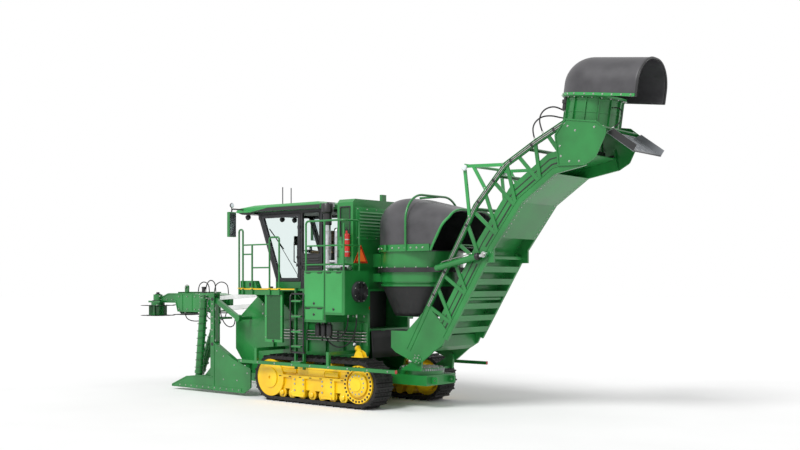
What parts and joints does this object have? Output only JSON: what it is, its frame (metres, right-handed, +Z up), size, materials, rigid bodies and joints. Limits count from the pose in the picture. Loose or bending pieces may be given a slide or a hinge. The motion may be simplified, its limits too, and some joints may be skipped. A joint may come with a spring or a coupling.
{
  "type": "tracked sugarcane harvester",
  "caption": "Sugarcane harvester on tracks: topper, crop dividers, feed rollers, cab, trash extractor hood and a slewing slat elevator with a second hood",
  "frame": {"origin": "on the ground under the middle of the machine's box", "axes": "+X forward, +Y to the driver's left, +Z up"},
  "size_m": [11.9442, 2.75, 5.8143],
  "materials": {
    "green_paint": "gloss enamel",
    "yellow_paint": "gloss enamel",
    "track_steel": "worn",
    "hood_plastic": "moulded",
    "bare_steel": "worn bright",
    "chromed_steel": "polished",
    "cab_glass": "clear",
    "grey_paint": "satin",
    "red_paint": "gloss enamel",
    "orange_sheet": "reflective sheet",
    "cabin_trim": "woven",
    "black_paint": "satin",
    "silver_pipe": "bright"
  },
  "bodies": {
    "chassis": {"track_left": "track_steel", "track_right": "track_steel", "track_frame_left": "yellow_paint", "track_frame_right": "yellow_paint", "main_frame": "green_paint", "side_rails": "green_paint", "tow_eyes": "green_paint", "platforms": "green_paint", "ladder": "green_paint", "handrails": "green_paint", "side_grilles": "green_paint", "side_tanks": "green_paint", "engine_block": "black_paint", "cooling_housing": "green_paint", "exhaust": "silver_pipe", "extinguisher": "red_paint", "slow_sign": "orange_sheet", "air_intake": "black_paint", "cab_frame": "black_paint", "cab_glass": "cab_glass", "cab_roof": "green_paint", "cab_interior": "cabin_trim", "roof_fittings": "black_paint", "extractor_drum": "green_paint"},
    "door": {"cab_door": "black_paint", "door_glass": "cab_glass"},
    "hood": {"primary_hood": "hood_plastic", "hood_cage": "green_paint"},
    "fan": {"primary_fan": "bare_steel"},
    "slew": {"slew_frame": "green_paint", "slew_yoke": "black_paint"},
    "elevator": {"elevator_frame": "green_paint", "elevator_trough": "green_paint", "elevator_hoop": "grey_paint", "elevator_slats": "black_paint", "elevator_head": "green_paint"},
    "lift_barrel": {"lift_barrels": "green_paint"},
    "lift_rod": {"lift_rods": "chromed_steel"},
    "tail_hood": {"secondary_hood": "hood_plastic"},
    "tail_fan": {"secondary_fan": "bare_steel"},
    "flap": {"bin_flap": "grey_paint"},
    "boom": {"topper_boom": "green_paint"},
    "boom_link": {"topper_link": "grey_paint"},
    "topper": {"topper_head": "green_paint"},
    "gather_left": {"topper_drum_left": "black_paint"},
    "gather_right": {"topper_drum_right": "black_paint"},
    "knockdown": {"knockdown_roller": "black_paint"},
    "fin": {"fin_roller": "black_paint"},
    "cutter_left": {"base_cutter_left": "bare_steel"},
    "cutter_right": {"base_cutter_right": "bare_steel"},
    "arm_left": {"divider_arm_left": "green_paint"},
    "link_left": {"divider_link_left": "green_paint"},
    "divider_left": {"divider_left": "green_paint"},
    "outer_scroll_left": {"outer_scroll_left": "green_paint"},
    "inner_scroll_left": {"inner_scroll_left": "green_paint"},
    "arm_right": {"divider_arm_right": "green_paint"},
    "link_right": {"divider_link_right": "green_paint"},
    "divider_right": {"divider_right": "green_paint"},
    "outer_scroll_right": {"outer_scroll_right": "green_paint"},
    "inner_scroll_right": {"inner_scroll_right": "green_paint"}
  },
  "joints": [
    {"name": "cab_door", "type": "hinge", "parent": "chassis", "child": "door", "pos_m": [0.8692, 0.776, 3], "axis": [0, 0, 1], "range_deg": [0, 25]},
    {"name": "primary_hood_turn", "type": "hinge", "parent": "chassis", "child": "hood", "pos_m": [-1.4708, 0, 2.7803], "axis": [0, 0, 1], "range_deg": [-80, 80]},
    {"name": "primary_fan_spin", "type": "hinge", "parent": "chassis", "child": "fan", "pos_m": [-1.4708, 0, 2.7803], "axis": [0, 0, 1], "continuous": true},
    {"name": "elevator_slew", "type": "hinge", "parent": "chassis", "child": "slew", "pos_m": [-1.4708, 0, 0.64], "axis": [0, 0, 1], "range_deg": [-85, 85]},
    {"name": "elevator_lift", "type": "hinge", "parent": "slew", "child": "elevator", "pos_m": [-1.7808, 0, 0.9], "axis": [0, -1, 0], "range_deg": [0, 24]},
    {"name": "lift_barrel_turn", "type": "hinge", "parent": "slew", "child": "lift_barrel", "pos_m": [-2.2908, 0, 2.49], "axis": [0, -1, 0], "range_deg": [-1, 32.49]},
    {"name": "lift_rod_slide", "type": "slide", "parent": "lift_barrel", "child": "lift_rod", "axis": [-0.9769, 0, 0.2137], "range_m": [-0.005, 0.67903]},
    {"name": "tail_hood_turn", "type": "hinge", "parent": "elevator", "child": "tail_hood", "pos_m": [-4.9408, 0, 5.15], "axis": [-0.1392, 0, 0.9903], "range_deg": [-170, 170]},
    {"name": "tail_fan_spin", "type": "hinge", "parent": "elevator", "child": "tail_fan", "pos_m": [-4.9408, 0, 5.15], "axis": [-0.1392, 0, 0.9903], "continuous": true},
    {"name": "bin_flap", "type": "hinge", "parent": "elevator", "child": "flap", "pos_m": [-5.3908, 0, 4.54], "axis": [0, 1, 0], "range_deg": [-45, 30]},
    {"name": "topper_lift", "type": "hinge", "parent": "chassis", "child": "boom", "pos_m": [2.1592, 0, 1.8], "axis": [0, -1, 0], "range_deg": [-20, 40]},
    {"name": "topper_link_turn", "type": "hinge", "parent": "chassis", "child": "boom_link", "pos_m": [2.1592, 0, 2.03], "axis": [0, -1, 0], "range_deg": [-21, 41]},
    {"name": "topper_level", "type": "hinge", "parent": "boom", "child": "topper", "pos_m": [4.0392, 0, 1.67], "axis": [0, -1, 0], "range_deg": [-41, 21]},
    {"name": "gather_left_spin", "type": "hinge", "parent": "topper", "child": "gather_left", "pos_m": [5.5992, 0.45, 1.79], "axis": [0, 0, 1], "continuous": true},
    {"name": "gather_right_spin", "type": "hinge", "parent": "topper", "child": "gather_right", "pos_m": [5.5992, -0.45, 1.79], "axis": [0, 0, 1], "continuous": true},
    {"name": "divider_lift_left", "type": "hinge", "parent": "chassis", "child": "arm_left", "pos_m": [2.3992, 0.95, 0.62], "axis": [0, -1, 0], "range_deg": [-5, 24]},
    {"name": "divider_link_turn_left", "type": "hinge", "parent": "chassis", "child": "link_left", "pos_m": [2.3992, 0.95, 1.53], "axis": [0, -1, 0], "range_deg": [-6, 25]},
    {"name": "divider_level_left", "type": "hinge", "parent": "arm_left", "child": "divider_left", "pos_m": [3.0892, 0.95, 0.99], "axis": [0, -1, 0], "range_deg": [-25, 6]},
    {"name": "outer_scroll_left_spin", "type": "hinge", "parent": "divider_left", "child": "outer_scroll_left", "pos_m": [3.5992, 0.95, 0.37], "axis": [-0.1027, 0, 0.9947], "continuous": true},
    {"name": "inner_scroll_left_spin", "type": "hinge", "parent": "divider_left", "child": "inner_scroll_left", "pos_m": [3.7692, 0.74, 0.4], "axis": [-0.2974, -0.1262, 0.9464], "continuous": true},
    {"name": "base_cutter_left_spin", "type": "hinge", "parent": "chassis", "child": "cutter_left", "pos_m": [1.8692, 0.3, 0.23], "axis": [0, 0, 1], "continuous": true},
    {"name": "divider_lift_right", "type": "hinge", "parent": "chassis", "child": "arm_right", "pos_m": [2.3992, -0.95, 0.62], "axis": [0, -1, 0], "range_deg": [-5, 24]},
    {"name": "divider_link_turn_right", "type": "hinge", "parent": "chassis", "child": "link_right", "pos_m": [2.3992, -0.95, 1.53], "axis": [0, -1, 0], "range_deg": [-6, 25]},
    {"name": "divider_level_right", "type": "hinge", "parent": "arm_right", "child": "divider_right", "pos_m": [3.0892, -0.95, 0.99], "axis": [0, -1, 0], "range_deg": [-25, 6]},
    {"name": "outer_scroll_right_spin", "type": "hinge", "parent": "divider_right", "child": "outer_scroll_right", "pos_m": [3.5992, -0.95, 0.37], "axis": [-0.1027, 0, 0.9947], "continuous": true},
    {"name": "inner_scroll_right_spin", "type": "hinge", "parent": "divider_right", "child": "inner_scroll_right", "pos_m": [3.7692, -0.74, 0.4], "axis": [-0.2974, 0.1262, 0.9464], "continuous": true},
    {"name": "base_cutter_right_spin", "type": "hinge", "parent": "chassis", "child": "cutter_right", "pos_m": [1.8692, -0.3, 0.23], "axis": [0, 0, 1], "continuous": true},
    {"name": "knockdown_spin", "type": "hinge", "parent": "chassis", "child": "knockdown", "pos_m": [2.5892, 0, 1.24], "axis": [0, 1, 0], "continuous": true},
    {"name": "fin_spin", "type": "hinge", "parent": "chassis", "child": "fin", "pos_m": [2.2792, 0, 0.76], "axis": [0, 1, 0], "continuous": true}
  ],
  "couplings": [
    {"joint": "lift_barrel_turn", "follows": "elevator_lift", "ratio": 1.3121},
    {"joint": "lift_rod_slide", "follows": "elevator_lift", "m_per_rad": 1.6091},
    {"joint": "topper_link_turn", "follows": "topper_lift", "ratio": 1},
    {"joint": "topper_level", "follows": "topper_lift", "ratio": -1},
    {"joint": "divider_link_turn_left", "follows": "divider_lift_left", "ratio": 1},
    {"joint": "divider_level_left", "follows": "divider_lift_left", "ratio": -1},
    {"joint": "divider_link_turn_right", "follows": "divider_lift_right", "ratio": 1},
    {"joint": "divider_level_right", "follows": "divider_lift_right", "ratio": -1}
  ]
}
